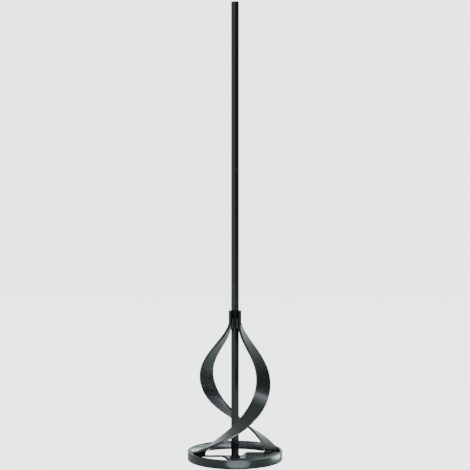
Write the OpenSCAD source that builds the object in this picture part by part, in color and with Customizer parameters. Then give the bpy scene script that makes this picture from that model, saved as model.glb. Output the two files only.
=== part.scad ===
// Mortar mixing paddle: a hexagonal drive shaft with two helical blades, a guard ring
// and a crossbar, all of mild steel and joined by weld beads.
// The ring stands on the ground plane, the shaft runs up the +Z axis from its centre,
// and the blades' upper ends sit on the shaft's two flats that face +X and -X.

/* [Shaft] */
// Overall height of the paddle, from the ring's lower edge to the shaft's top end
overall_h = 580; // [450:5:650]
// Width of the hexagonal shaft across its flats
shaft_af = 10; // [9:0.5:12]
// Chamfer on the shaft's top end
shaft_chamfer = 0.6; // [0.4:0.1:1.2]

/* [Ring] */
// Outer diameter of the guard ring
ring_d = 120; // [116:1:124]
// Height of the ring's strip
ring_h = 11; // [10:0.5:14]
// Thickness of the ring's strip
ring_t = 3; // [2.5:0.25:3.5]
// Width of the gap between the ring's two ends, which its butt weld fills
ring_gap = 3; // [2:0.5:4]

/* [Crossbar] */
// Width of the crossbar's strip
bar_w = 20; // [16:1:22]
// Thickness of the crossbar's strip
bar_t = 2.5; // [2:0.25:3]
// Half length of the flat middle that carries the shaft
bar_flat = 8; // [7:0.5:10]
// Length of the twist between the flat middle and each pitched wing
bar_twist = 8; // [6:1:12]
// Pitch of each wing, so that the crossbar lifts the mortar as it turns
wing_pitch = 12; // [8:1:14]

/* [Blades] */
// Width of the blades' strip
blade_w = 18.5; // [17:0.5:19]
// Thickness of the blades' strip
blade_t = 3; // [2.5:0.25:3.5]
// Height of the blades' upper ends
blade_top = 188; // [182:1:200]
// Height at which the blades begin to leave the shaft
bend_start = 173; // [168:0.5:176]
// Height at which the blades turn down onto the crossbar
bend_foot = 10; // [10:0.5:12]
// Radius of a blade's centre line at its belly
belly_r = 46.4; // [44:0.1:47]
// Radius of a blade's centre line at its foot
foot_r = 46.9; // [46:0.1:47.2]
// Angle that a blade wraps round the shaft, in degrees
wrap = 167; // [164:1:172]
// Share of the wrap that comes evenly; the rest of it comes late, near the foot
wrap_even = 0.37; // [0.25:0.01:0.45]
// How late the rest of the wrap comes: 1 is even, and more puts it nearer the foot
wrap_lag = 3.9; // [3:0.05:4.5]
// Share of its drop in which the right blade swings out; bent by hand, the two differ a little
flare_right = 0.302; // [0.27:0.002:0.31]
// Share of its drop in which the left blade swings out
flare_left = 0.276; // [0.27:0.002:0.31]
// How sharply the blades swing out
flare_power = 1.95; // [1.8:0.05:2.4]
// How early the strip's own twist comes: 1 is even, and less puts it nearer the shaft
twist_lead = 0.75; // [0.65:0.05:1]
// Angle between the strip's width and the radius at its foot, in degrees
foot_roll = 13.5; // [8:0.5:16]

/* [Welds] */
// Length of the beads that join a blade to the shaft
seat_weld_len = 15; // [10:1:18]
// Distance of those beads' upper ends below the blade's end
seat_weld_drop = 9; // [1:1:9]
// Radius of the beads that join a blade to the shaft
seat_weld_r = 2.4; // [2:0.1:2.8]
// Radius of the beads in the ring and on the crossbar
bead_r = 2; // [1.6:0.1:2.4]
// Height of the fillet round the shaft's foot
collar_h = 2; // [1.5:0.25:3]
// How far the ring's butt weld stands proud of its inner wall
seam_proud = 0.6; // [0.4:0.1:1]
// Length of the bead between a blade's foot and the crossbar
foot_bead_len = 8; // [6:0.5:9]

/* [Hidden] */
$fn = 96;
ring_fn = 240;
ring_r = ring_d / 2;
ring_in = ring_r - ring_t;
seat_r = shaft_af / 2 + blade_t / 2;
shaft_corner = shaft_af / sqrt(3);
// Height of a wing's middle plane, which keeps its lower edge just off the ground plane
wing_mid = bar_t + 0.85;
bar_steps = 12;
bend_steps = 84;
// Below 1 the sections stand closer together towards the foot
bend_spacing = 0.75;
corner_steps = 6;
// How late a blade's radius goes from its belly's to its foot's
foot_spread = 6.4;
// The bend's t at which the rounded corner above the foot begins, and the corner's height
corner_from = 0.986;
corner_drop = 3;
// How far inwards from the middle of a blade's foot its bead on the wing is centred
foot_bead_in = 4.5;
// Height of the upper end of the bead between a blade's foot and the ring
foot_weld_top = ring_h - 1;
// Share of the crossbar's width that the beads at its ends cover
wing_weld_share = 0.6;
// Where a seat bead's axis lies from the flat's corner: in behind the flat, and out in front
seat_bead_in = 0.9;
seat_bead_out = 1.6;
// How far the collar fillet reaches past the shaft's corners at its foot and at its top
collar_foot = 1.5;
collar_top = 0.2;
// How far cutting shapes run past what they cut
over = 1;
steel = [0.11, 0.12, 0.11];
weld_steel = [0.17, 0.18, 0.17];

// A flat strip swept along a path

function unit(v) = v / norm(v);

// Direction of the path at point i, from its neighbours
function heading(path, i) =
    unit(path[min(i + 1, len(path) - 1)] - path[max(i - 1, 0)]);

// The four corners of the strip's section at a point: across is its width's direction
function section(p, across, along, w, t) =
    let (face = unit(cross(along, across)), a = across * w / 2, b = face * t / 2)
    [p - a - b, p + a - b, p + a + b, p - a + b];

// Closed solid through a list of four-cornered sections. The two wide faces are split
// along matching diagonals, so that the strip keeps its thickness where it twists
module strip(sections) {
    corners = [for (s = sections) each s];
    sides = [for (i = [0 : len(sections) - 2], k = [0 : 3])
        let (a = 4 * i + k, b = 4 * i + (k + 1) % 4, c = b + 4, d = a + 4)
        each k < 2 ? [[a, b, c], [a, c, d]] : [[a, b, d], [b, c, d]]];
    foot = len(corners) - 4;
    ends = [[3, 2, 1, 0], [foot, foot + 1, foot + 2, foot + 3]];
    polyhedron(points = corners, faces = concat(sides, ends));
}

// Blades

function radial(angle) = [cos(angle), sin(angle), 0];

// A blade's centre line, t from 0 where it leaves the shaft to 1 above the crossbar
function bend_r(t, flare) =
    seat_r + (belly_r - seat_r) * (1 - exp(-pow(t / flare, flare_power)))
    + (foot_r - belly_r) * pow(t, foot_spread);
function bend_angle(t) = -wrap * (wrap_even * t + (1 - wrap_even) * pow(t, wrap_lag));
function bend_point(t, flare) =
    bend_r(t, flare) * radial(bend_angle(t)) + [0, 0, bend_start - t * (bend_start - bend_foot)];

// Turn of the strip's width from the radius: flat on the shaft at 0, near radial at 1
function bend_roll(t) = -90 + (90 - foot_roll) * pow(t, twist_lead);

// Point on a rounded corner between a and c, with b as its sharp corner
function corner_point(a, b, c, s) = (1 - s) * (1 - s) * a + 2 * s * (1 - s) * b + s * s * c;

// Middle of a blade's foot, and the direction in which its width points there
foot_point = foot_r * radial(-wrap) + [0, 0, bend_foot];
foot_way = foot_roll - wrap;
// Each entry is the bend's t and the point there: seat, bend, rounded corner, foot
function blade_line(flare) = concat(
    [[0, [seat_r, 0, blade_top]], [0, [seat_r, 0, (blade_top + bend_start) / 2]]],
    [for (i = [0 : bend_steps]) let (t = corner_from * pow(i / bend_steps, bend_spacing))
        [t, bend_point(t, flare)]],
    [for (i = [1 : corner_steps]) let (s = i / corner_steps)
        [1, corner_point(bend_point(corner_from, flare), foot_point,
            foot_point - [0, 0, corner_drop], s)]]);

// Direction of the strip's width, square to the path
function width_way(t, along) =
    let (out = radial(bend_angle(t)), r = unit(out - (out * along) * along))
    cos(bend_roll(t)) * r + sin(bend_roll(t)) * cross(along, r);

// Height of the top face of the wing on -X at a given y
function wing_top(y) = wing_mid + bar_t / 2 / cos(wing_pitch) - y * tan(wing_pitch);

// The strip's section at the foot, with each corner let down onto the wing
foot_section = [for (c = section(foot_point, radial(foot_way), [0, 0, -1], blade_w, blade_t))
    [c.x, c.y, wing_top(c.y)]];

// The blade that leaves the shaft's +X flat and stands on the wing on -X
module blade(flare) {
    line = blade_line(flare);
    path = [for (e = line) e[1]];
    strip(concat([for (i = [0 : len(path) - 1]) let (along = heading(path, i))
        section(path[i], width_way(line[i][0], along), along, blade_w, blade_t)],
        [foot_section]));
}

module blade_right() {
    color(steel) blade(flare_right);
}

module blade_left() {
    color(steel) rotate([0, 0, 180]) blade(flare_left);
}

// Shaft

// Hexagonal bar with flats facing +X and -X
module hex_bar(z0, z1) {
    translate([0, 0, z0]) rotate([0, 0, 30]) cylinder(h = z1 - z0, r = shaft_corner, $fn = 6);
}

module shaft() {
    rim_r = shaft_corner - shaft_chamfer;
    color(steel) intersection() {
        hex_bar(bar_t, overall_h);
        union() {
            cylinder(h = overall_h - shaft_chamfer, r = shaft_corner + over);
            translate([0, 0, overall_h - shaft_chamfer - over])
                cylinder(h = shaft_chamfer + over, r1 = rim_r + shaft_chamfer + over, r2 = rim_r);
        }
    }
}

// Ring

module tube(outer, inner, h) {
    difference() {
        cylinder(h = h, r = outer, $fn = ring_fn);
        translate([0, 0, -over]) cylinder(h = h + 2 * over, r = inner, $fn = ring_fn);
    }
}

// The ring's wall and the space outside it
module ring_wall() {
    tube(2 * ring_r, ring_in, ring_h + over);
}

// The space between the ring's ends, at +Y
module ring_gap_block() {
    translate([-ring_gap / 2, ring_in - ring_t, -over])
        cube([ring_gap, 3 * ring_t, ring_h + 2 * over]);
}

module ring() {
    color(steel) difference() {
        tube(ring_r, ring_in, ring_h);
        ring_gap_block();
    }
}

module ring_seam_weld() {
    color(weld_steel) intersection() {
        tube(ring_r, ring_in - seam_proud, ring_h);
        ring_gap_block();
    }
}

// Crossbar

// 0 on the flat middle and 1 on the wings, with a smooth change between
function wing_share(x) =
    let (s = min(max((abs(x) - bar_flat) / bar_twist, 0), 1)) s * s * (3 - 2 * s);

function bar_section(x) =
    let (share = wing_share(x), roll = sign(x) * wing_pitch * share)
    section([x, 0, bar_t / 2 + (wing_mid - bar_t / 2) * share],
        [0, cos(roll), sin(roll)], [-1, 0, 0], bar_w, bar_t);

bar_half = [for (i = [0 : bar_steps]) bar_flat + bar_twist * i / bar_steps];
bar_places = concat([ring_r], [for (i = [bar_steps : -1 : 0]) bar_half[i]],
    [for (x = bar_half) -x], [-ring_r]);

module crossbar() {
    color(steel) intersection() {
        strip([for (x = bar_places) bar_section(x)]);
        translate([0, 0, -over]) cylinder(h = ring_h + 2 * over, r = ring_in, $fn = ring_fn);
    }
}

// Places children in the frame of one wing's middle plane; side is 1 for +X, -1 for -X
module on_wing(side) {
    translate([0, 0, wing_mid]) rotate([wing_pitch * side, 0, 0]) children();
}

// Space that a wing fills, out past the ring
module wing_block(side) {
    on_wing(side) translate([side > 0 ? 0 : -ring_r, -bar_w / 2, -bar_t / 2])
        cube([ring_r, bar_w, bar_t]);
}

// Welds

// Bead in the groove between the shaft and a blade's upper end.
// side is 1 for the blade on +X and -1 for the one on -X; face is -1 for front, 1 for back
module seat_weld(side, face) {
    root = [side * shaft_af / 2, face * shaft_corner / 2];
    centre = root + [-side * seat_bead_in, face * seat_bead_out];
    color(weld_steel) difference() {
        translate([centre.x, centre.y, blade_top - seat_weld_drop - seat_weld_len])
            cylinder(h = seat_weld_len, r = seat_weld_r);
        hex_bar(0, overall_h);
        translate([side > 0 ? shaft_af / 2 : -shaft_af, -blade_w, 0])
            cube([shaft_af / 2, 2 * blade_w, overall_h]);
    }
}

module shaft_weld_right_front() {
    seat_weld(1, -1);
}

module shaft_weld_right_back() {
    seat_weld(1, 1);
}

module shaft_weld_left_front() {
    seat_weld(-1, -1);
}

module shaft_weld_left_back() {
    seat_weld(-1, 1);
}

// The upright plate at the foot of the blade that ends on -X, as a plain block
module foot_plate() {
    translate([foot_point.x, foot_point.y, 0]) rotate([0, 0, foot_way])
        translate([-blade_w / 2, -blade_t / 2, 0]) cube([blade_w, blade_t, ring_h]);
}

// Upright bead between a blade's outer edge and the ring's inner wall
module foot_ring_weld() {
    edge = foot_point + (blade_w / 2) * radial(foot_way);
    spot = ring_in * unit([edge.x, edge.y, 0]);
    middle = (spot + [edge.x, edge.y, 0]) / 2;
    difference() {
        translate([middle.x, middle.y, bar_t]) cylinder(h = foot_weld_top - bar_t, r = bead_r);
        ring_wall();
        foot_plate();
        wing_block(-1);
    }
}

module blade_ring_weld_left() {
    color(weld_steel) foot_ring_weld();
}

module blade_ring_weld_right() {
    color(weld_steel) rotate([0, 0, 180]) foot_ring_weld();
}

// Bead along the wing, at the back of a blade's foot
module foot_bar_weld() {
    back = foot_point + blade_t / 2 * radial(foot_way - 90) - foot_bead_in * radial(foot_way);
    difference() {
        translate([back.x, back.y, wing_top(back.y)]) rotate([0, 90, foot_way])
            rotate([atan(tan(wing_pitch) * sin(foot_way)), 0, 0])
                cylinder(h = foot_bead_len, r = bead_r, center = true);
        foot_plate();
        wing_block(-1);
    }
}

module blade_crossbar_weld_left() {
    color(weld_steel) foot_bar_weld();
}

module blade_crossbar_weld_right() {
    color(weld_steel) rotate([0, 0, 180]) foot_bar_weld();
}

// Bead across a wing's end, in the corner with the ring's inner wall
module wing_end_weld(side) {
    color(weld_steel) difference() {
        on_wing(side) translate([side * ring_in, 0, bar_t / 2])
            rotate([90, 0, 0]) cylinder(h = bar_w * wing_weld_share, r = bead_r, center = true);
        ring_wall();
        wing_block(side);
    }
}

module crossbar_ring_weld_right() {
    wing_end_weld(1);
}

module crossbar_ring_weld_left() {
    wing_end_weld(-1);
}

// Fillet round the shaft's foot on the crossbar
module shaft_crossbar_weld() {
    color(weld_steel) difference() {
        translate([0, 0, bar_t])
            cylinder(h = collar_h, r1 = shaft_corner + collar_foot, r2 = shaft_corner + collar_top);
        hex_bar(0, overall_h);
    }
}

// The paddle

shaft();
blade_right();
blade_left();
ring();
crossbar();
shaft_weld_right_front();
shaft_weld_right_back();
shaft_weld_left_front();
shaft_weld_left_back();
blade_ring_weld_right();
blade_ring_weld_left();
blade_crossbar_weld_right();
blade_crossbar_weld_left();
crossbar_ring_weld_right();
crossbar_ring_weld_left();
shaft_crossbar_weld();
ring_seam_weld();
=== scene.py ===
import math

import bmesh
import bpy
from mathutils import Matrix, Vector


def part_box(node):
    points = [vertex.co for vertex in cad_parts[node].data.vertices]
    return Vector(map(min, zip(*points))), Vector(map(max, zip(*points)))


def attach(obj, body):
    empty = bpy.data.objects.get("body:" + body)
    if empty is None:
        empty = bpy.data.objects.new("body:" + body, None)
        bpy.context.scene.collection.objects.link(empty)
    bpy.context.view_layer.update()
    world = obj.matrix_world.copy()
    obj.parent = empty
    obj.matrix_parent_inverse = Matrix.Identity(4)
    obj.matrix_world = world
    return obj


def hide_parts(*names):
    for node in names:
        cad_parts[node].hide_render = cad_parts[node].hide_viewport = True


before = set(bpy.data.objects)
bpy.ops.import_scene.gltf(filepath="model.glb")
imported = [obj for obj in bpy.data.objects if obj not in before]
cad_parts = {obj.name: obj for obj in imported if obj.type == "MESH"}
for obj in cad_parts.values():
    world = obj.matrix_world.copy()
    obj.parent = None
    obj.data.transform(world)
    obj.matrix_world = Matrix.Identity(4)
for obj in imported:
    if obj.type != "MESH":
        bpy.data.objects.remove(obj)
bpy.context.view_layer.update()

# Mortar mixing paddle: hexagonal shaft, two helical blades, guard ring, crossbar and their welds.
# Lengths are in metres and angles in degrees. The shaft is on Z and the ring stands on z = 0.

body = "root"
mergeDistance = 1e-6


def radial(angle):
    a = math.radians(angle)
    return Vector((math.cos(a), math.sin(a), 0))


def halfTurn(point):
    return Vector((-point.x, -point.y, point.z))


def smoothShare(value):
    s = min(max(value, 0.0), 1.0)
    return s * s * (3 - 2 * s)


def squareTo(direction, along):
    # the part of a direction that is square to another
    return (direction - direction.dot(along) * along).normalized()


def headings(points, closed=False):
    # direction of a path at each of its points
    count = len(points)
    ways = []
    for i in range(count):
        before = points[i - 1] if closed or i > 0 else points[0]
        after = points[(i + 1) % count] if closed or i < count - 1 else points[-1]
        ways.append((after - before).normalized())
    return ways


def addPiece(piece, slot, *nodes):
    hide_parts(*nodes)
    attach(piece, body)


# the paint on all pieces, with scales in waves to a metre
paint = {
    "colour": (0.0065, 0.0088, 0.0082),   # charcoal with a little green
    "thinCoatAndSheenColour": (0.10, 0.115, 0.112),   # pale edges: partly a thinner coat, partly a painted highlight on the rims
    "dustColour": (0.055, 0.060, 0.058),
    "steelColour": (0.42, 0.41, 0.39),
    "barGloss": (0.18, 0.28),             # roughness of the drawn bar, least and most
    "bladeGloss": (0.24, 0.33),
    "ringGloss": (0.30, 0.40),
    "beadGloss": (0.30, 0.42),
    "cloudScale": 38.0,                   # slow changes of colour and gloss
    "grainScale": 420.0,                  # dust and fine changes of gloss
    "chipScale": 150.0,                   # bare spots on the edges
    "peelScale": 520.0,                   # orange peel of the sprayed coat
    "peelHeight": 0.03,
    "waveScale": 55.0,                    # waviness of the rolled bar under it
    "waveHeight": 0.9,
    "clotScale": 900.0,                   # lumps on the weld beads
    "bumpStrength": 0.35,
    "bumpDistance": 0.0006,
    "ior": 1.52,
    "coatWeight": 0.25,
    "coatRoughness": 0.12,
    "edgeWidth": 0.0012,
    "edgeTurn": (0.995, 0.90),            # cosines at which an edge begins and is full
}


def node(tree, kind, place, **values):
    made = tree.nodes.new(kind)
    made.location = (place[0] * 200, place[1] * 200)
    for name, value in values.items():
        if hasattr(made, name):
            setattr(made, name, value)
        else:
            made.inputs[name].default_value = value
    return made


def noiseAt(tree, coords, place, scale, detail=3.0, roughness=0.5):
    made = node(tree, "ShaderNodeTexNoise", place)
    made.inputs["Scale"].default_value = scale
    made.inputs["Detail"].default_value = detail
    made.inputs["Roughness"].default_value = roughness
    tree.links.new(coords, made.inputs["Vector"])
    return made.outputs["Fac"]


def spread(tree, value, place, fromLow, fromHigh, toLow, toHigh):
    made = node(tree, "ShaderNodeMapRange", place)
    for name, number in (("From Min", fromLow), ("From Max", fromHigh),
                         ("To Min", toLow), ("To Max", toHigh)):
        made.inputs[name].default_value = number
    tree.links.new(value, made.inputs["Value"])
    return made.outputs["Result"]


def blendColour(tree, share, first, second, place):
    made = node(tree, "ShaderNodeMix", place, data_type="RGBA")
    tree.links.new(share, made.inputs["Factor"])
    sockets = [s for s in made.inputs if s.type == "RGBA"]
    for socket, colour in zip(sockets, (first, second)):
        if isinstance(colour, tuple):
            socket.default_value = (*colour, 1.0)
        else:
            tree.links.new(colour, socket)
    return [s for s in made.outputs if s.type == "RGBA"][0]


def calc(tree, operation, first, second, place):
    made = node(tree, "ShaderNodeMath", place, operation=operation)
    for socket, value in zip(made.inputs, (first, second)):
        if isinstance(value, (int, float)):
            socket.default_value = value
        else:
            tree.links.new(value, socket)
    return made.outputs[0]


def edgeShare(tree, place):
    # 1 on the piece's outer edges and 0 on its flat faces
    bevel = node(tree, "ShaderNodeBevel", place, samples=6)
    bevel.inputs["Radius"].default_value = paint["edgeWidth"]
    geometry = node(tree, "ShaderNodeNewGeometry", (place[0], place[1] - 1))
    dot = node(tree, "ShaderNodeVectorMath", (place[0] + 1, place[1]), operation="DOT_PRODUCT")
    tree.links.new(bevel.outputs["Normal"], dot.inputs[0])
    tree.links.new(geometry.outputs["True Normal"], dot.inputs[1])
    return spread(tree, dot.outputs["Value"], (place[0] + 2, place[1]), *paint["edgeTurn"], 0.0, 1.0)


def paintedSteel(name, roughness, edgeWearAndSheen, seed, lumps=0.0, mottle=0.0):
    # the third argument pales the edges, partly as a thin coat and partly as a painted highlight, and
    # sets the bare chips;
    # seed shifts the patterns, lumps adds the coarse bump of a weld bead and mottle adds dust
    material = bpy.data.materials.new(name)
    material.use_nodes = True
    tree = material.node_tree
    tree.nodes.clear()
    place = node(tree, "ShaderNodeTexCoord", (-9, 0)).outputs["Object"]
    shift = node(tree, "ShaderNodeVectorMath", (-8, 0), operation="ADD")
    shift.inputs[1].default_value = (0.37 * seed, 0.11 * seed, 0.23 * seed)
    tree.links.new(place, shift.inputs[0])
    coords = shift.outputs["Vector"]

    cloud = noiseAt(tree, coords, (-6, 3), paint["cloudScale"], 5.0, 0.6)
    fine = noiseAt(tree, coords, (-6, 1), paint["grainScale"], 4.0, 0.65)
    peel = noiseAt(tree, coords, (-6, -2), paint["peelScale"], 2.0)
    wave = noiseAt(tree, coords, (-6, -4), paint["waveScale"], 2.0)
    edges = edgeShare(tree, (-6, 5))

    # colour: cloudy coat, paler on the edges as a thin coat and as a painted highlight, with a few dusty
    # and bare specks
    coat = blendColour(tree, spread(tree, cloud, (-5, 3), 0.35, 0.7, 0.0, 1.0),
                       paint["colour"], tuple(c * 1.45 for c in paint["colour"]), (-4, 3))
    # painted highlight: the edges are paled beyond what a thin coat alone would show
    thinCoatAndSheen = spread(tree, fine, (-5, 4), 0.35, 0.6, 0.2 * edgeWearAndSheen, edgeWearAndSheen)
    thinCoatAndSheen = calc(tree, "MULTIPLY", edges, thinCoatAndSheen, (-4, 5))
    coat = blendColour(tree, thinCoatAndSheen, coat, paint["thinCoatAndSheenColour"], (-3, 3))
    dustFrom = 0.66 - 0.14 * mottle
    dust = spread(tree, fine, (-5, 1), dustFrom, dustFrom + 0.12, 0.0, 0.3 + 0.5 * mottle)
    coat = blendColour(tree, dust, coat, paint["dustColour"], (-2, 3))
    chipNoise = noiseAt(tree, coords, (-6, 7), paint["chipScale"], 3.0, 0.55)
    chips = spread(tree, chipNoise, (-5, 7), 0.70, 0.73, 0.0, min(1.0, 2 * edgeWearAndSheen))
    chipEdge = calc(tree, "MULTIPLY", edges, chips, (-4, 7))
    coat = blendColour(tree, chipEdge, coat, paint["steelColour"], (-1, 3))

    # gloss and surface
    rough = spread(tree, cloud, (-5, 0), 0.3, 0.7, *roughness)
    rough = calc(tree, "ADD", rough, spread(tree, fine, (-5, -1), 0.3, 0.7, -0.04, 0.08), (-4, 0))
    waves = calc(tree, "MULTIPLY", wave, paint["waveHeight"], (-4, -4))
    peels = calc(tree, "MULTIPLY", peel, paint["peelHeight"], (-4, -2))
    height = calc(tree, "ADD", waves, peels, (-3, -3))
    if lumps:
        clots = noiseAt(tree, coords, (-6, -6), paint["clotScale"], 2.0)
        clots = calc(tree, "MULTIPLY", clots, lumps, (-4, -6))
        height = calc(tree, "ADD", height, clots, (-2, -4))
    bump = node(tree, "ShaderNodeBump", (-1, -3))
    bump.inputs["Strength"].default_value = paint["bumpStrength"]
    bump.inputs["Distance"].default_value = paint["bumpDistance"]
    tree.links.new(height, bump.inputs["Height"])

    shader = node(tree, "ShaderNodeBsdfPrincipled", (1, 1))
    shader.inputs["IOR"].default_value = paint["ior"]
    shader.inputs["Coat Weight"].default_value = paint["coatWeight"]
    shader.inputs["Coat Roughness"].default_value = paint["coatRoughness"]
    tree.links.new(coat, shader.inputs["Base Color"])
    tree.links.new(rough, shader.inputs["Roughness"])
    tree.links.new(chipEdge, shader.inputs["Metallic"])
    tree.links.new(bump.outputs["Normal"], shader.inputs["Normal"])
    output = node(tree, "ShaderNodeOutputMaterial", (3, 1))
    tree.links.new(shader.outputs["BSDF"], output.inputs["Surface"])
    return material


shaftPaint = paintedSteel("shaftPaint", paint["barGloss"], 0.15, 1)
bladePaint = paintedSteel("bladePaint", paint["bladeGloss"], 0.15, 2)
mottledPaint = paintedSteel("mottledPaint", paint["bladeGloss"], 0.15, 7, mottle=1.0)   # the left blade's
# its edges are painted pale at nearly full strength: a painted highlight along the ring's rims
ringPaint = paintedSteel("ringPaint", paint["ringGloss"], 0.9, 3)
crossbarPaint = paintedSteel("crossbarPaint", paint["bladeGloss"], 0.05, 4)
beadPaint = paintedSteel("beadPaint", paint["beadGloss"], 0.1, 5, lumps=0.8)
# the right blade's seat beads, with pale ripple edges and many bare chips as a painted highlight
sheenBeadPaint = paintedSteel("sheenBeadPaint", paint["barGloss"], 1.0, 6, lumps=1.2)
print("materials ready")


def newTree(name, inputs):
    tree = bpy.data.node_groups.new(name, "GeometryNodeTree")
    tree.interface.new_socket("Geometry", in_out="OUTPUT", socket_type="NodeSocketGeometry")
    tree.interface.new_socket("Path", in_out="INPUT", socket_type="NodeSocketGeometry")
    for label, kind in inputs:
        tree.interface.new_socket(label, in_out="INPUT", socket_type=kind)
    return tree


def finishTree(tree, source, geometry, place):
    realize = node(tree, "GeometryNodeRealizeInstances", place)
    setMaterial = node(tree, "GeometryNodeSetMaterial", (place[0] + 1, place[1]))
    output = node(tree, "NodeGroupOutput", (place[0] + 2, place[1]))
    tree.links.new(geometry, realize.inputs["Geometry"])
    tree.links.new(realize.outputs["Geometry"], setMaterial.inputs["Geometry"])
    tree.links.new(source.outputs["Material"], setMaterial.inputs["Material"])
    tree.links.new(setMaterial.outputs["Geometry"], output.inputs["Geometry"])


def flatBarTree():
    # sweeps a flat bar with rolled edges along a path; widthWay says how the bar lies
    tree = newTree("flatBar", [
        ("Width", "NodeSocketFloat"), ("Thickness", "NodeSocketFloat"),
        ("Edge Radius", "NodeSocketFloat"), ("Edge Steps", "NodeSocketInt"),
        ("Material", "NodeSocketMaterial")])
    source = node(tree, "NodeGroupInput", (-4, 0))
    line = node(tree, "GeometryNodeMeshToCurve", (-3, 1))
    way = node(tree, "GeometryNodeInputNamedAttribute", (-3, -1), data_type="FLOAT_VECTOR")
    way.inputs["Name"].default_value = "widthWay"
    lay = node(tree, "GeometryNodeSetCurveNormal", (-2, 1), mode="FREE")
    outline = node(tree, "GeometryNodeCurvePrimitiveQuadrilateral", (-3, -3))
    rounded = node(tree, "GeometryNodeFilletCurve", (-2, -3), mode="POLY")
    sweep = node(tree, "GeometryNodeCurveToMesh", (-1, 0))
    sweep.inputs["Fill Caps"].default_value = True
    links = tree.links
    links.new(source.outputs["Path"], line.inputs["Mesh"])
    links.new(line.outputs["Curve"], lay.inputs["Curve"])
    links.new(way.outputs["Attribute"], lay.inputs["Normal"])
    links.new(source.outputs["Width"], outline.inputs["Width"])
    links.new(source.outputs["Thickness"], outline.inputs["Height"])
    links.new(outline.outputs["Curve"], rounded.inputs["Curve"])
    links.new(source.outputs["Edge Radius"], rounded.inputs["Radius"])
    links.new(source.outputs["Edge Steps"], rounded.inputs["Count"])
    links.new(lay.outputs["Curve"], sweep.inputs["Curve"])
    links.new(rounded.outputs["Curve"], sweep.inputs["Profile Curve"])
    finishTree(tree, source, sweep.outputs["Mesh"], (1, 0))
    return tree


def weldBeadTree():
    # a bead of overlapping ripples along a path, narrower at its ends and a little uneven
    tree = newTree("weldBead", [
        ("Radius", "NodeSocketFloat"), ("Ripple Pitch", "NodeSocketFloat"),
        ("Ripple Depth", "NodeSocketFloat"), ("Unevenness", "NodeSocketFloat"),
        ("End Length", "NodeSocketFloat"), ("Seed", "NodeSocketFloat"),
        ("Material", "NodeSocketMaterial")])
    links = tree.links
    source = node(tree, "NodeGroupInput", (-6, 0))
    line = node(tree, "GeometryNodeMeshToCurve", (-5, 2))
    fine = node(tree, "GeometryNodeResampleCurve", (-4, 2), mode="LENGTH")
    step = calc(tree, "DIVIDE", source.outputs["Ripple Pitch"], 6.0, (-5, 0))
    links.new(source.outputs["Path"], line.inputs["Mesh"])
    links.new(line.outputs["Curve"], fine.inputs["Curve"])
    links.new(step, fine.inputs["Length"])

    along = node(tree, "GeometryNodeSplineParameter", (-5, -2))
    total = node(tree, "GeometryNodeSplineLength", (-5, -3))

    # each ripple swells quickly and falls away slowly
    turns = calc(tree, "DIVIDE", along.outputs["Length"], source.outputs["Ripple Pitch"], (-4, -1))
    phase = calc(tree, "FRACT", turns, 0.0, (-3, -1))
    swell = calc(tree, "POWER", calc(tree, "SUBTRACT", 1.0, phase, (-2, -1)), 0.6, (-1, -1))
    ripple = calc(tree, "MULTIPLY", swell, source.outputs["Ripple Depth"], (0, -1))
    # both ends taper over a short length
    toEnd = calc(tree, "SUBTRACT", total.outputs["Length"], along.outputs["Length"], (-4, -3))
    nearest = calc(tree, "MINIMUM", toEnd, along.outputs["Length"], (-3, -3))
    share = calc(tree, "DIVIDE", nearest, source.outputs["End Length"], (-2, -3))
    taper = calc(tree, "POWER", calc(tree, "MINIMUM", share, 1.0, (-1, -3)), 0.5, (0, -3))
    taper = calc(tree, "MAXIMUM", taper, 0.25, (0, -4))
    low = calc(tree, "SUBTRACT", 1.0, source.outputs["Ripple Depth"], (0, -2))
    size = calc(tree, "MULTIPLY", calc(tree, "ADD", low, ripple, (1, -1)), taper, (1, -3))
    size = calc(tree, "MULTIPLY", size, source.outputs["Radius"], (2, -1))

    profile = node(tree, "GeometryNodeCurvePrimitiveCircle", (2, -3))
    profile.inputs["Resolution"].default_value = 14
    profile.inputs["Radius"].default_value = 1.0
    sweep = node(tree, "GeometryNodeCurveToMesh", (3, 1))
    sweep.inputs["Fill Caps"].default_value = True
    links.new(fine.outputs["Curve"], sweep.inputs["Curve"])
    links.new(profile.outputs["Curve"], sweep.inputs["Profile Curve"])
    links.new(size, sweep.inputs["Scale"])

    noise = node(tree, "ShaderNodeTexNoise", (3, -2), noise_dimensions="4D")
    noise.inputs["Scale"].default_value = 420.0
    noise.inputs["Detail"].default_value = 2.0
    links.new(source.outputs["Seed"], noise.inputs["W"])
    centred = node(tree, "ShaderNodeVectorMath", (4, -2), operation="SUBTRACT")
    centred.inputs[1].default_value = (0.5, 0.5, 0.5)
    push = node(tree, "ShaderNodeVectorMath", (5, -2), operation="SCALE")
    move = node(tree, "GeometryNodeSetPosition", (5, 1))
    links.new(noise.outputs["Color"], centred.inputs[0])
    links.new(centred.outputs["Vector"], push.inputs[0])
    links.new(source.outputs["Unevenness"], push.inputs["Scale"])
    links.new(sweep.outputs["Mesh"], move.inputs["Geometry"])
    links.new(push.outputs["Vector"], move.inputs["Offset"])
    finishTree(tree, source, move.outputs["Geometry"], (6, 1))
    return tree


barTree = flatBarTree()
beadTree = weldBeadTree()


def addObject(name, data):
    made = bpy.data.objects.new(name, data)
    bpy.context.scene.collection.objects.link(made)
    return made


def pathObject(name, points, ways=None, closed=False):
    mesh = bpy.data.meshes.new(name)
    edges = [(i, i + 1) for i in range(len(points) - 1)]
    if closed:
        edges.append((len(points) - 1, 0))
    mesh.from_pydata([tuple(p) for p in points], edges, [])
    if ways:
        attribute = mesh.attributes.new("widthWay", "FLOAT_VECTOR", "POINT")
        attribute.data.foreach_set("vector", [c for way in ways for c in way])
    return addObject(name, mesh)


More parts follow.
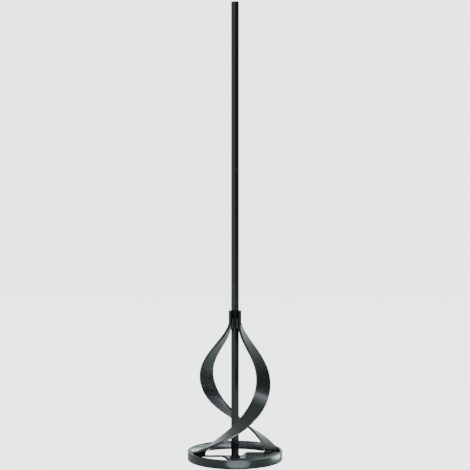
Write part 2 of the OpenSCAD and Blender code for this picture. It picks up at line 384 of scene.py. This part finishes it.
def runTree(path, tree, values):
    # runs the tree on a path object and leaves a plain mesh in its place
    modifier = path.modifiers.new(tree.name, "NODES")
    modifier.node_group = tree
    for item in tree.interface.items_tree:
        if item.in_out == "INPUT" and item.name in values:
            modifier[item.identifier] = values[item.name]
    depsgraph = bpy.context.evaluated_depsgraph_get()
    mesh = bpy.data.meshes.new_from_object(path.evaluated_get(depsgraph))
    mesh.name = path.name
    path.modifiers.clear()
    path.data = mesh
    return path


def workObject(name, work, material):
    mesh = bpy.data.meshes.new(name)
    work.to_mesh(mesh)
    work.free()
    mesh.materials.append(material)
    return addObject(name, mesh)


def shadeFlats(piece):
    # keeps the large faces flat beside their rolled edges
    weighted = piece.modifiers.new("flatShading", "WEIGHTED_NORMAL")
    weighted.keep_sharp = True
    weighted.weight = 80


def tidyMesh(piece, finish=None, sharpAngle=40.0):
    # merges doubles, runs finish on the bmesh, turns the faces outwards and shades them smooth
    work = bmesh.new()
    work.from_mesh(piece.data)
    bmesh.ops.remove_doubles(work, verts=work.verts, dist=mergeDistance)
    if finish:
        finish(work)
    bmesh.ops.recalc_face_normals(work, faces=work.faces)
    for face in work.faces:
        face.smooth = True
    for edge in work.edges:
        if len(edge.link_faces) == 2:
            edge.smooth = edge.calc_face_angle() < math.radians(sharpAngle)
    work.to_mesh(piece.data)
    work.free()
    return piece


def flatBar(name, points, ways, size, material, finish=None, closed=False):
    path = pathObject(name, points, ways, closed)
    runTree(path, barTree, {
        "Width": size["width"], "Thickness": size["thickness"],
        "Edge Radius": size["edgeRadius"], "Edge Steps": size["edgeSteps"],
        "Material": material})
    tidyMesh(path, finish)
    shadeFlats(path)
    return path


def weldBead(name, points, size, seed, closed=False, material=beadPaint):
    path = pathObject(name, points, closed=closed)
    runTree(path, beadTree, {
        "Radius": size["radius"], "Ripple Pitch": size["pitch"], "Ripple Depth": size["depth"],
        "Unevenness": size["uneven"], "End Length": size["endLength"], "Seed": float(seed),
        "Material": material})
    return tidyMesh(path, sharpAngle=180.0)


# the crossbar, with the wings that the blades stand on
crossbar = {
    "width": 0.020,
    "thickness": 0.0025,
    "edgeRadius": 0.0003,
    "edgeSteps": 3,
    "flatHalf": 0.008,       # half length of the flat middle
    "flatSteps": 4,
    "twistLength": 0.008,
    "wingPitch": 12.0,
    "wingRise": 0.0021,      # of the wing's middle plane over the flat middle's
    "twistSteps": 14,
    "wingSteps": 10,
    "reach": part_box("crossbar")[1].x,
}


def crossbarLine(size):
    step = size["twistLength"] / size["twistSteps"]
    half = [size["flatHalf"] * i / size["flatSteps"] for i in range(1, size["flatSteps"])]
    half += [size["flatHalf"] + step * i for i in range(size["twistSteps"] + 1)]
    wingStart = half[-1]
    half += [wingStart + (size["reach"] - wingStart) * i / size["wingSteps"]
             for i in range(1, size["wingSteps"] + 1)]
    places = [-x for x in reversed(half)] + [0.0] + half
    points, ways = [], []
    for x in places:
        share = smoothShare((abs(x) - size["flatHalf"]) / size["twistLength"])
        roll = math.radians(math.copysign(size["wingPitch"], x) * share)
        points.append(Vector((x, 0, size["thickness"] / 2 + size["wingRise"] * share)))
        ways.append(Vector((0, math.cos(roll), math.sin(roll))))
    return points, ways


def copeEnds(work):
    # the crossbar's ends follow the ring's inner wall
    reach = crossbar["reach"]
    for vert in work.verts:
        limit = math.sqrt(max(reach ** 2 - vert.co.y ** 2, 0))
        if abs(vert.co.x) > limit:
            vert.co.x = math.copysign(limit, vert.co.x)


def makeCrossbar():
    points, ways = crossbarLine(crossbar)
    piece = flatBar("crossbarStrip", points, ways, crossbar, crossbarPaint, copeEnds)
    addPiece(piece, "crossbar_steel", "crossbar")


# the guard ring
ringLow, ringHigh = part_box("ring")
seamLow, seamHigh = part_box("ring_seam_weld")
ring = {
    "width": ringHigh.z - ringLow.z,
    "thickness": 0.003,
    "edgeRadius": 0.0005,
    "edgeSteps": 4,
    "outerRadius": ringHigh.x,
    "gap": seamHigh.x - seamLow.x,
    "steps": 220,
}


def makeRing():
    middle = ring["outerRadius"] - ring["thickness"] / 2
    halfGap = math.degrees(math.asin(ring["gap"] / 2 / middle))
    start, sweep = 90 + halfGap, 360 - 2 * halfGap
    points = [middle * radial(start + sweep * i / ring["steps"]) for i in range(ring["steps"] + 1)]
    points = [p + Vector((0, 0, ring["width"] / 2)) for p in points]
    ways = [Vector((0, 0, 1))] * len(points)
    piece = flatBar("guardRing", points, ways, ring, ringPaint)
    addPiece(piece, "ring_steel", "ring")


# the blades
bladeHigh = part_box("blade_right")[1]
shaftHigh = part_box("shaft")[1]
blade = {
    "width": 0.0185,
    "thickness": 0.003,
    "edgeRadius": 0.0005,
    "edgeSteps": 4,
    "top": bladeHigh.z,
    "bendStart": 0.173,
    "bendFoot": 0.010,
    "bellyRadius": 0.0464,
    "footRadius": 0.0469,
    "footSpread": 6.4,     # how late the belly's radius goes over to the foot's
    "wrap": 167.0,
    "wrapEven": 0.37,      # share of the wrap that comes evenly, the rest near the foot
    "wrapLag": 3.9,
    "flareRight": 0.302,   # share of the drop in which each blade swings out
    "flareLeft": 0.276,
    "flarePower": 1.95,
    "twistLead": 0.75,
    "footRoll": 13.5,
    "seatSteps": 6,
    "bendSteps": 150,
    "bunching": 0.75,      # below 1 it draws the bend's steps together towards the foot
    "cornerFrom": 0.986,
    "cornerDrop": 0.003,
    "cornerSteps": 8,
    "footTrim": 1.3,       # corner drops below the bend at which the foot is cut to the wing
    "footEnd": 1.6,        # corner drops below the bend at which the path ends
}


def bendAngle(size, t):
    even = size["wrapEven"]
    return -size["wrap"] * (even * t + (1 - even) * t ** size["wrapLag"])


def bendPoint(size, t, flare):
    seat = shaftHigh.x + size["thickness"] / 2
    out = 1 - math.exp(-(t / flare) ** size["flarePower"])
    r = seat + (size["bellyRadius"] - seat) * out
    r += (size["footRadius"] - size["bellyRadius"]) * t ** size["footSpread"]
    z = size["bendStart"] - t * (size["bendStart"] - size["bendFoot"])
    return r * radial(bendAngle(size, t)) + Vector((0, 0, z))


def wingTop(y):
    pitch = math.radians(crossbar["wingPitch"])
    middle = crossbar["thickness"] / 2 + crossbar["wingRise"]
    return middle + crossbar["thickness"] / 2 / math.cos(pitch) - y * math.tan(pitch)


def footPoint(size):
    return size["footRadius"] * radial(-size["wrap"]) + Vector((0, 0, size["bendFoot"]))


def bladeLine(size, flare):
    seat = shaftHigh.x + size["thickness"] / 2
    seatLength = size["top"] - size["bendStart"]
    stations = []
    for i in range(size["seatSteps"]):
        stations.append((0.0, Vector((seat, 0, size["top"] - seatLength * i / size["seatSteps"]))))
    for i in range(size["bendSteps"] + 1):
        t = size["cornerFrom"] * (i / size["bendSteps"]) ** size["bunching"]
        stations.append((t, bendPoint(size, t, flare)))
    start, corner = bendPoint(size, size["cornerFrom"], flare), footPoint(size)
    end = corner - Vector((0, 0, size["cornerDrop"]))
    for i in range(1, size["cornerSteps"] + 1):
        s = i / size["cornerSteps"]
        point = (1 - s) ** 2 * start + 2 * s * (1 - s) * corner + s * s * end
        stations.append((1.0, point))
    stations.append((1.0, corner - Vector((0, 0, size["footEnd"] * size["cornerDrop"]))))
    points = [p for t, p in stations]
    ways = []
    for (t, point), along in zip(stations, headings(points)):
        out = squareTo(radial(bendAngle(size, t)), along)
        roll = math.radians(-90 + (90 - size["footRoll"]) * t ** size["twistLead"])
        ways.append(math.cos(roll) * out + math.sin(roll) * along.cross(out))
    return points, ways


def makeBlade(name, cadNode, flare, turned):
    points, ways = bladeLine(blade, flare)

    def finish(work):
        trimBelow = footPoint(blade).z - blade["footTrim"] * blade["cornerDrop"]
        for vert in work.verts:
            if vert.co.z < trimBelow and vert.co.x < 0:
                vert.co.z = wingTop(vert.co.y)
        if turned:
            bmesh.ops.rotate(work, verts=work.verts, matrix=Matrix.Rotation(math.pi, 3, "Z"))

    coat = mottledPaint if turned else bladePaint
    piece = flatBar(name, points, ways, blade, coat, finish)
    addPiece(piece, "blade_steel", cadNode)


# the shaft
shaft = {
    "acrossFlats": 2 * shaftHigh.x,
    "cornerRadius": 0.0005,
    "cornerSteps": 4,
    "chamfer": 0.0006,
    "chamferShare": 0.8,     # its width as a share of its height
    "bottom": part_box("shaft")[0].z,
    "top": shaftHigh.z,
    "pieces": 60,
}


def hexOutline(acrossFlats, cornerRadius, cornerSteps):
    # corners at 30, 90, 150 ... degrees, each an arc, so that flats face +X and -X
    toCorner = (acrossFlats / 2 - cornerRadius) / math.cos(math.radians(30))
    outline = []
    for corner in range(6):
        angle = 30 + 60 * corner
        centre = toCorner * radial(angle)
        for i in range(cornerSteps + 1):
            outline.append(centre + cornerRadius * radial(angle - 30 + 60 * i / cornerSteps))
    return outline


def makeShaft():
    full = hexOutline(shaft["acrossFlats"], shaft["cornerRadius"], shaft["cornerSteps"])
    inner = hexOutline(shaft["acrossFlats"] - 2 * shaft["chamfer"] * shaft["chamferShare"],
                       shaft["cornerRadius"], shaft["cornerSteps"])
    span = shaft["top"] - shaft["chamfer"] - shaft["bottom"]
    levels = [(full, shaft["bottom"] + span * i / shaft["pieces"]) for i in range(shaft["pieces"] + 1)]
    levels.append((inner, shaft["top"]))
    work = bmesh.new()
    rows = [[work.verts.new((p.x, p.y, z)) for p in outline] for outline, z in levels]
    count = len(full)
    for low, high in zip(rows, rows[1:]):
        for i in range(count):
            j = (i + 1) % count
            work.faces.new((low[i], low[j], high[j], high[i]))
    work.faces.new(list(reversed(rows[0])))
    work.faces.new(rows[-1])
    piece = tidyMesh(workObject("shaftBar", work, shaftPaint), sharpAngle=32.0)
    shadeFlats(piece)
    addPiece(piece, "shaft_steel", "shaft")


# the weld beads: radius of the bead, pitch and depth of its ripples, and how far its ends taper
seatBead = {
    "radius": 0.0021, "pitch": 0.0020, "depth": 0.22, "uneven": 0.0009, "endLength": 0.002,
    "sink": (0.0004, 0.0006),   # how far it lies inside its CAD weld, along X and Y
    "belowTop": 0.0004,         # and inside it at its two ends
    "aboveLow": 0.0012,
}
footBead = {
    "radius": 0.0019, "pitch": 0.0019, "depth": 0.25, "uneven": 0.0009, "endLength": 0.0018,
    "inward": 0.0045,           # of its middle from the foot's, along the blade's width
    "half": 0.004,              # half its length
    "stand": 0.0002,            # off the blade's face
    "lift": 0.0003,             # off the wing
}
ringBead = {
    "radius": 0.0017, "pitch": 0.0019, "depth": 0.20, "uneven": 0.0006, "endLength": 0.0015,
    "shorter": 0.0006,          # at each end than its CAD weld
    "sink": 0.0002,
    "drop": 0.0004,
}
collarBead = {
    "radius": 0.0011, "pitch": 0.0018, "depth": 0.22, "uneven": 0.0005, "endLength": 0.0001,
    "ring": 0.0060,             # radius of its path
    "lift": 0.0004,
    "steps": 60,
}
seamBead = {
    "inset": 0.0002,            # of both its skins from the CAD weld's
    "shorter": 0.0003,
    "overlap": 0.0004,          # past each side of the ring's gap
    "foot": 0.0006,             # from the CAD weld's inner skin to the bead's edge
    "crown": 0.0005,
    "ripple": 0.00018,
    "rippleRows": 4.3,          # rows to one ripple
    "rows": 26,
    "columns": 7,
}


def straight(start, end, steps=8):
    return [start.lerp(end, i / steps) for i in range(steps + 1)]


def upright(centre, top, bottom):
    return straight(Vector((centre.x, centre.y, top)), Vector((centre.x, centre.y, bottom)))


def makeSeatBeads():
    sinkX, sinkY = seatBead["sink"]
    for seed, cadNode in enumerate(("shaft_weld_right_front", "shaft_weld_right_back",
                                    "shaft_weld_left_front", "shaft_weld_left_back")):
        low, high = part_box(cadNode)
        centre = (low + high) / 2
        centre -= Vector((math.copysign(sinkX, centre.x), math.copysign(sinkY, centre.y), 0))
        line = upright(centre, high.z - seatBead["belowTop"], low.z + seatBead["aboveLow"])
        # the right seat beads get the pale-edged paint, a painted highlight
        coat = sheenBeadPaint if "right" in cadNode else beadPaint
        bead = weldBead(cadNode.replace("weld", "bead"), line, seatBead, seed, material=coat)
        addPiece(bead, "weld_beads", cadNode)


def makeFootBeads():
    foot = footPoint(blade)
    way = radial(blade["footRoll"] - blade["wrap"])
    out = Vector((way.y, -way.x, 0))
    for seed, side in enumerate(("left", "right")):
        # along the wing, at the back of the foot
        middle = foot - footBead["inward"] * way + (blade["thickness"] / 2 + footBead["stand"]) * out
        ends = [middle - footBead["half"] * way, middle + footBead["half"] * way]
        line = [Vector((p.x, p.y, wingTop(p.y) + footBead["lift"])) for p in ends]
        if side == "right":
            line = [halfTurn(p) for p in line]
        bead = weldBead("foot_bead_" + side, straight(*line), footBead, 10 + seed)
        addPiece(bead, "weld_beads", "blade_crossbar_weld_" + side)
        # upright, between the foot's outer edge and the ring
        low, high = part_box("blade_ring_weld_" + side)
        line = upright((low + high) / 2, high.z - ringBead["shorter"], low.z + ringBead["shorter"])
        bead = weldBead("ring_bead_" + side, line, ringBead, 20 + seed)
        addPiece(bead, "weld_beads", "blade_ring_weld_" + side)
        # across the wing's end
        low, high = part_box("crossbar_ring_weld_" + side)
        centre = (low + high) / 2
        lean = math.tan(math.radians(crossbar["wingPitch"])) * (1 if side == "right" else -1)
        half = (high.y - low.y) / 2 - ringBead["shorter"]
        base = centre - Vector((math.copysign(ringBead["sink"], -centre.x), 0, ringBead["drop"]))
        line = straight(base + Vector((0, -half, -half * lean)), base + Vector((0, half, half * lean)))
        bead = weldBead("wing_bead_" + side, line, ringBead, 30 + seed)
        addPiece(bead, "weld_beads", "crossbar_ring_weld_" + side)


def makeCollarBead():
    lift = Vector((0, 0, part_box("shaft_crossbar_weld")[0].z + collarBead["lift"]))
    steps = collarBead["steps"]
    points = [collarBead["ring"] * radial(360 * i / steps) + lift for i in range(steps)]
    bead = weldBead("collar_bead", points, collarBead, 40, closed=True)
    addPiece(bead, "weld_beads", "shaft_crossbar_weld")


def makeSeamBead():
    # the ring's butt weld: ground flush outside, proud inside
    size = seamBead
    rows, columns = size["rows"], size["columns"]
    outer = ring["outerRadius"] - size["inset"]
    inner = outer - (seamHigh.y - seamLow.y - size["inset"]) + size["foot"]
    left = -ring["gap"] / 2 - size["overlap"]
    span = ring["gap"] + 2 * size["overlap"]
    tall = ring["width"] - 2 * size["shorter"]
    work = bmesh.new()
    grid = {}
    for i in range(rows + 1):
        z = size["shorter"] + tall * i / rows
        crown = size["crown"] + size["ripple"] * math.sin(2 * math.pi * i / size["rippleRows"])
        for j in range(columns + 1):
            x = left + span * j / columns
            y = inner - crown * math.cos(math.pi * (j / columns - 0.5))
            grid["in", i, j] = work.verts.new((x, y, z))
            grid["out", i, j] = work.verts.new((x, math.sqrt(outer ** 2 - x * x), z))

    def face(*corners):
        work.faces.new([grid[corner] for corner in corners])

    for i in range(rows):
        for j in range(columns):
            for skin in ("in", "out"):
                face((skin, i, j), (skin, i, j + 1), (skin, i + 1, j + 1), (skin, i + 1, j))
        for j in (0, columns):
            face(("in", i, j), ("in", i + 1, j), ("out", i + 1, j), ("out", i, j))
    for j in range(columns):
        for i in (0, rows):
            face(("in", i, j), ("in", i, j + 1), ("out", i, j + 1), ("out", i, j))
    piece = tidyMesh(workObject("seam_bead", work, beadPaint), sharpAngle=50.0)
    addPiece(piece, "weld_beads", "ring_seam_weld")


makeShaft()
print("shaft made")
makeRing()
makeCrossbar()
print("ring and crossbar made")
makeBlade("bladeRight", "blade_right", blade["flareRight"], False)
makeBlade("bladeLeft", "blade_left", blade["flareLeft"], True)
print("blades made")
makeSeatBeads()
makeFootBeads()
makeCollarBead()
makeSeamBead()
print("welds made")


# floor, light and camera
studio = {
    "floorColour": (0.80, 0.80, 0.79),
    "floorSize": 8.0,
    "floorShade": 0.985,     # its slightly darker patches
    "floorPatches": 3.0,
    "floorRoughness": 0.9,
    "floorGlow": 2.7,        # keeps the paper pale to the camera
    "backdropStrength": 3.2,
    "frontStrength": 0.10,   # the room on the camera's side
    "overStrength": 0.62,    # the room's ceiling
    "backStrength": 1.30,    # the lit paper behind and beside the paddle
    "turn": (-0.25, 0.45),   # where, along Y, the room goes over into the paper
    "fade": (0.30, 0.80),    # between these, along Z, the paper's light falls away
    "highShare": 0.30,       # what is left of it higher up
    "rise": (0.60, 0.85),    # between these, along Z, the room goes over into its ceiling
    "roomColour": (0.84, 1.0, 0.96),
    "lightColour": (0.80, 0.91, 1.0),
    "lights": [
        # name, place, aim, size, power, spread of the beam
        ("leftSoftbox", (-1.7, -0.9, 0.5), (0, 0, 0.25), (0.9, 1.6), 4.0, 180),
        ("topSoftbox", (-0.3, 0.1, 2.0), (0, 0, 0.1), (1.0, 1.0), 10.0, 180),
        ("frontCard", (0.007, -0.092, 0.001), (0.007, -0.092, 1), (0.056, 0.060), 0.041, 180),
        ("rightCard", (0.090, -0.012, 0.001), (0.090, -0.012, 1), (0.036, 0.045), 0.050, 180),
        ("innerCard", (-0.004, 0.038, 0.001), (-0.004, 0.038, 1), (0.010, 0.022), 0.008, 180),
        ("cornerCard", (-0.032, 0.037, 0.001), (-0.032, 0.037, 1), (0.018, 0.018), 0.012, 180),
        ("highSoftbox", (0.14, -1.25, 1.05), (0, 0, 0.09), (0.45, 0.40), 5.8, 180),
        ("sideSoftbox", (1.45, 0.45, 0.14), (0, 0, 0.02), (0.8, 0.24), 0.75, 60),
    ],
}

view = {
    "distance": 1.25,
    "height": 0.278,
    "focal": 75.4,
    "sensor": 36.0,
    "tiltUp": 0.262,
    "clipStart": 0.01,
}


def aim(thing, place, target):
    thing.location = place
    thing.rotation_euler = (Vector(target) - Vector(place)).to_track_quat("-Z", "Y").to_euler()


def makeFloor():
    material = bpy.data.materials.new("floorPaper")
    material.use_nodes = True
    tree = material.node_tree
    shader = tree.nodes["Principled BSDF"]
    coords = node(tree, "ShaderNodeTexCoord", (-6, 0)).outputs["Object"]
    patches = noiseAt(tree, coords, (-5, 0), studio["floorPatches"])
    patches = spread(tree, patches, (-4, 0), 0.3, 0.7, 0.0, 1.0)
    pale = studio["floorColour"]
    darker = tuple(c * studio["floorShade"] for c in pale)
    tree.links.new(blendColour(tree, patches, pale, darker, (-3, 0)), shader.inputs["Base Color"])
    shader.inputs["Roughness"].default_value = studio["floorRoughness"]
    rays = node(tree, "ShaderNodeLightPath", (-3, -2))
    glow = calc(tree, "MULTIPLY", rays.outputs["Is Camera Ray"], studio["floorGlow"], (-2, -2))
    shader.inputs["Emission Color"].default_value = (1, 1, 1, 1)
    tree.links.new(glow, shader.inputs["Emission Strength"])
    half = studio["floorSize"] / 2
    mesh = bpy.data.meshes.new("floor")
    mesh.from_pydata([(-half, -half, 0), (half, -half, 0), (half, half, 0), (-half, half, 0)],
                     [], [(0, 1, 2, 3)])
    mesh.materials.append(material)
    addObject("floor", mesh)


def makeLights():
    for name, place, target, size, power, spreadAngle in studio["lights"]:
        lamp = bpy.data.lights.new(name, "AREA")
        lamp.shape = "ELLIPSE" if name.endswith("Card") else "RECTANGLE"
        lamp.size, lamp.size_y = size
        lamp.energy = power
        lamp.spread = math.radians(spreadAngle)
        lamp.color = studio["lightColour"]
        holder = addObject(name, lamp)
        holder.visible_camera = False
        aim(holder, place, target)
    world = bpy.data.worlds.new("studio")
    bpy.context.scene.world = world
    world.use_nodes = True
    tree = world.node_tree
    tree.nodes.clear()
    way = node(tree, "ShaderNodeTexCoord", (-4, 1)).outputs["Generated"]
    axes = node(tree, "ShaderNodeSeparateXYZ", (-3, 1))
    tree.links.new(way, axes.inputs["Vector"])
    paper = spread(tree, axes.outputs["Y"], (-2, 1), *studio["turn"], 0.0, studio["backStrength"])
    high = spread(tree, axes.outputs["Z"], (-2, 3), *studio["fade"], 1.0, studio["highShare"])
    room = spread(tree, axes.outputs["Z"], (-2, -1), *studio["rise"],
                  studio["frontStrength"], studio["overStrength"])
    glow = calc(tree, "ADD", room, calc(tree, "MULTIPLY", paper, high, (-1, 2)), (-1, 0))
    fill = node(tree, "ShaderNodeBackground", (0, 1))
    fill.inputs["Color"].default_value = (*studio["roomColour"], 1.0)
    tree.links.new(glow, fill.inputs["Strength"])
    backdrop = node(tree, "ShaderNodeBackground", (0, -1))
    backdrop.inputs["Strength"].default_value = studio["backdropStrength"]
    backdrop.inputs["Color"].default_value = (1, 1, 1, 1)
    rays = node(tree, "ShaderNodeLightPath", (0, 3))
    mix = node(tree, "ShaderNodeMixShader", (1, 0))
    output = node(tree, "ShaderNodeOutputWorld", (2, 0))
    tree.links.new(rays.outputs["Is Camera Ray"], mix.inputs["Fac"])
    tree.links.new(fill.outputs["Background"], mix.inputs[1])
    tree.links.new(backdrop.outputs["Background"], mix.inputs[2])
    tree.links.new(mix.outputs["Shader"], output.inputs["Surface"])


def makeCamera():
    lens = bpy.data.cameras.new("camera")
    lens.lens = view["focal"]
    lens.sensor_width = view["sensor"]
    lens.clip_start = view["clipStart"]
    camera = addObject("camera", lens)
    camera.location = (0, -view["distance"], view["height"])
    camera.rotation_euler = (math.radians(90 + view["tiltUp"]), 0, 0)
    bpy.context.scene.camera = camera


makeFloor()
makeLights()
makeCamera()
print("studio ready")
